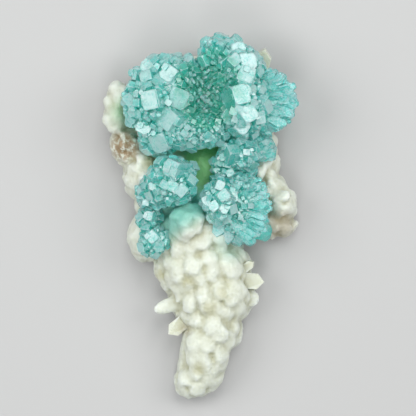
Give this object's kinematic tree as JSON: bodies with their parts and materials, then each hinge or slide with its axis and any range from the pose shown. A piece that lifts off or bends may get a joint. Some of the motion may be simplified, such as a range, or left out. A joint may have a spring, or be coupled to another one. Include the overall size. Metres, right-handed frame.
{
  "type": "apophyllite cluster",
  "caption": "Green apophyllite crystal rosettes grown on a cream stilbite matrix that tapers to a bladed tail, lying on its flat broken back.",
  "frame": {"origin": "centre of the flat broken back's bounding rectangle, on the surface it rests on", "axes": "+Z out of the back through the crystals, +Y from the tapered tail to the big rosette"},
  "size_m": [0.0606, 0.1116, 0.0356],
  "materials": {
    "stilbite": "pearly cream stilbite blades",
    "apophyllite": "vitreous translucent green crystal"
  },
  "bodies": {
    "root": {"stilbite_matrix": "stilbite", "upper_rosette": "apophyllite", "right_fan": "apophyllite", "lower_left_ball": "apophyllite", "lower_right_rosette": "apophyllite", "small_left_ball": "apophyllite"}
  },
  "joints": []
}
